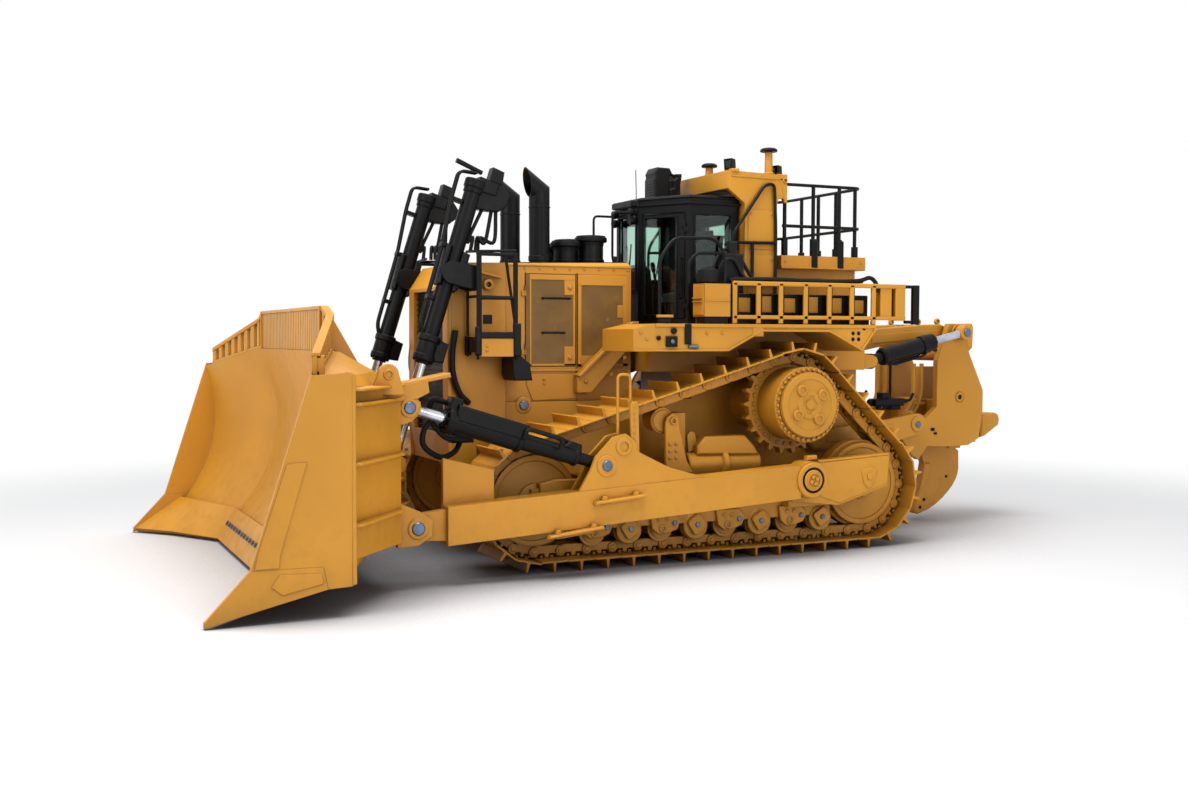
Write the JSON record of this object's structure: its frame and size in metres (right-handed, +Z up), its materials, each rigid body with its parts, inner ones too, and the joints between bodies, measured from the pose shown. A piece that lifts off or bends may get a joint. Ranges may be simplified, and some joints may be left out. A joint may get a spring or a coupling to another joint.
{
  "type": "bulldozer",
  "caption": "Large high-drive track-type tractor with a U-shaped blade, push arms, lift and tilt cylinders, enclosed cab and a single-shank rear ripper.",
  "frame": {"origin": "on the ground, midway across and midway along the machine with its blade and ripper", "axes": "+X towards the machine's left side, -Y towards the blade, +Z up"},
  "size_m": [6.358, 11.274, 4.885],
  "materials": {
    "yellow": "satin",
    "dark_yellow": "satin",
    "black": "satin",
    "grey": "matte",
    "chrome_rod": "polished",
    "engine_grey": "matte",
    "glass": "clear"
  },
  "bodies": {
    "machine": {"arm_mounts": "yellow", "breathers": "black", "cab_base": "yellow", "cab_roof": "grey", "cab_shell": "black", "cab_windows": "glass", "dash_console": "grey", "decks": "yellow", "engine_block": "engine_grey", "engine_panels": "yellow", "exhaust_stacks": "black", "final_drives": "yellow", "front_steps": "black", "fuel_tank": "yellow", "hood": "yellow", "hood_braces": "yellow", "idlers": "yellow", "lift_yokes": "black", "main_frame": "yellow", "operator_seat": "grey", "precleaners": "black", "radiator_grille": "black", "radiator_guard": "yellow", "rear_rails": "black", "ripper_mount": "yellow", "roller_frame_left": "yellow", "roller_frame_right": "yellow", "roof_unit": "black", "rops": "yellow", "side_boxes": "yellow", "side_rails": "yellow", "sprockets": "yellow", "track_left": "yellow", "track_right": "yellow", "track_rollers": "yellow"},
    "engine_door_left": {"engine_door_left": "dark_yellow"},
    "engine_door_right": {"engine_door_right": "dark_yellow"},
    "cab_door_left": {"cab_door_left": "black", "door_glass_left": "glass"},
    "cab_door_right": {"cab_door_right": "black", "door_glass_right": "glass"},
    "push_arms": {"push_arm_left": "yellow", "push_arm_right": "yellow"},
    "blade": {"blade": "yellow", "lift_lugs": "yellow", "cutting_edges": "yellow", "end_bits": "yellow", "rock_guard": "yellow"},
    "tilt_barrels": {"tilt_barrels": "black"},
    "tilt_rods": {"tilt_rods": "chrome_rod"},
    "lift_barrels": {"lift_barrels": "black"},
    "lift_rods": {"lift_rods": "chrome_rod"},
    "ripper_beam": {"ripper_beam": "yellow"},
    "ripper_carriage": {"ripper_carriage": "yellow", "push_block": "yellow", "ripper_shank": "yellow"},
    "ripper_upper_links": {"ripper_upper_links": "yellow"},
    "ripper_barrels": {"ripper_barrels": "black"},
    "ripper_rods": {"ripper_rods": "chrome_rod"}
  },
  "joints": [
    {"name": "engine_door_left_hinge", "type": "hinge", "parent": "machine", "child": "engine_door_left", "pos_m": [0.662, -1.653, 2.75], "axis": [0, 0, -1], "range_deg": [0, 85]},
    {"name": "engine_door_right_hinge", "type": "hinge", "parent": "machine", "child": "engine_door_right", "pos_m": [-0.662, -1.653, 2.75], "axis": [0, 0, 1], "range_deg": [0, 85]},
    {"name": "cab_door_left_hinge", "type": "hinge", "parent": "machine", "child": "cab_door_left", "pos_m": [0.9143, 0.2972, 3.4], "axis": [0, 0, 1], "range_deg": [0, 80]},
    {"name": "cab_door_right_hinge", "type": "hinge", "parent": "machine", "child": "cab_door_right", "pos_m": [-0.9143, 0.2972, 3.4], "axis": [0, 0, -1], "range_deg": [0, 80]},
    {"name": "blade_lift", "type": "hinge", "parent": "machine", "child": "push_arms", "pos_m": [0, 1.298, 0.908], "axis": [-1, 0, 0], "range_deg": [-6.3, 12.8]},
    {"name": "blade_pitch", "type": "hinge", "parent": "push_arms", "child": "blade", "pos_m": [0, -3.405, 0.621], "axis": [1, 0, 0], "range_deg": [-5, 5]},
    {"name": "tilt_barrel_swing", "type": "hinge", "parent": "push_arms", "child": "tilt_barrels", "pos_m": [0, -1.309, 1.174], "axis": [1, 0, 0], "range_deg": [-1.5, 1.5]},
    {"name": "tilt_rod_slide", "type": "slide", "parent": "tilt_barrels", "child": "tilt_rods", "axis": [0, -0.9562, 0.2927], "range_m": [-0.12, 0.12]},
    {"name": "lift_barrel_swing", "type": "hinge", "parent": "machine", "child": "lift_barrels", "pos_m": [0, -2.655, 3.255], "axis": [1, 0, 0], "range_deg": [-7.5, 4]},
    {"name": "lift_rod_slide", "type": "slide", "parent": "lift_barrels", "child": "lift_rods", "axis": [0, -0.2984, -0.9544], "range_m": [-1.05, 0.52]},
    {"name": "ripper_lift", "type": "hinge", "parent": "machine", "child": "ripper_beam", "pos_m": [0, 2.273, 1.24], "axis": [1, 0, 0], "range_deg": [-35, 25]},
    {"name": "ripper_carriage_link", "type": "hinge", "parent": "ripper_beam", "child": "ripper_carriage", "pos_m": [0, 3.852, 1.409], "axis": [1, 0, 0], "range_deg": [-25, 35]},
    {"name": "ripper_upper_link", "type": "hinge", "parent": "machine", "child": "ripper_upper_links", "pos_m": [0, 3.05, 2.453], "axis": [1, 0, 0], "range_deg": [-35, 25]},
    {"name": "ripper_barrel_swing", "type": "hinge", "parent": "machine", "child": "ripper_barrels", "pos_m": [0, 3.06, 2.245], "axis": [1, 0, 0], "range_deg": [-36, 26]},
    {"name": "ripper_rod_slide", "type": "slide", "parent": "ripper_barrels", "child": "ripper_rods", "axis": [0, 0.9723, 0.2336], "range_m": [-0.13, 0.095]}
  ],
  "couplings": [
    {"joint": "tilt_barrel_swing", "follows": "blade_pitch", "ratio": 0.18994},
    {"joint": "tilt_rod_slide", "follows": "blade_pitch", "m_per_rad": 1.1417},
    {"joint": "lift_barrel_swing", "follows": "blade_lift", "ratio": -0.52503},
    {"joint": "lift_rod_slide", "follows": "blade_lift", "m_per_rad": -4.5068},
    {"joint": "ripper_carriage_link", "follows": "ripper_lift", "ratio": -1},
    {"joint": "ripper_upper_link", "follows": "ripper_lift", "ratio": 1},
    {"joint": "ripper_barrel_swing", "follows": "ripper_lift", "ratio": 0.99291},
    {"joint": "ripper_rod_slide", "follows": "ripper_lift", "m_per_rad": 0.20267}
  ]
}
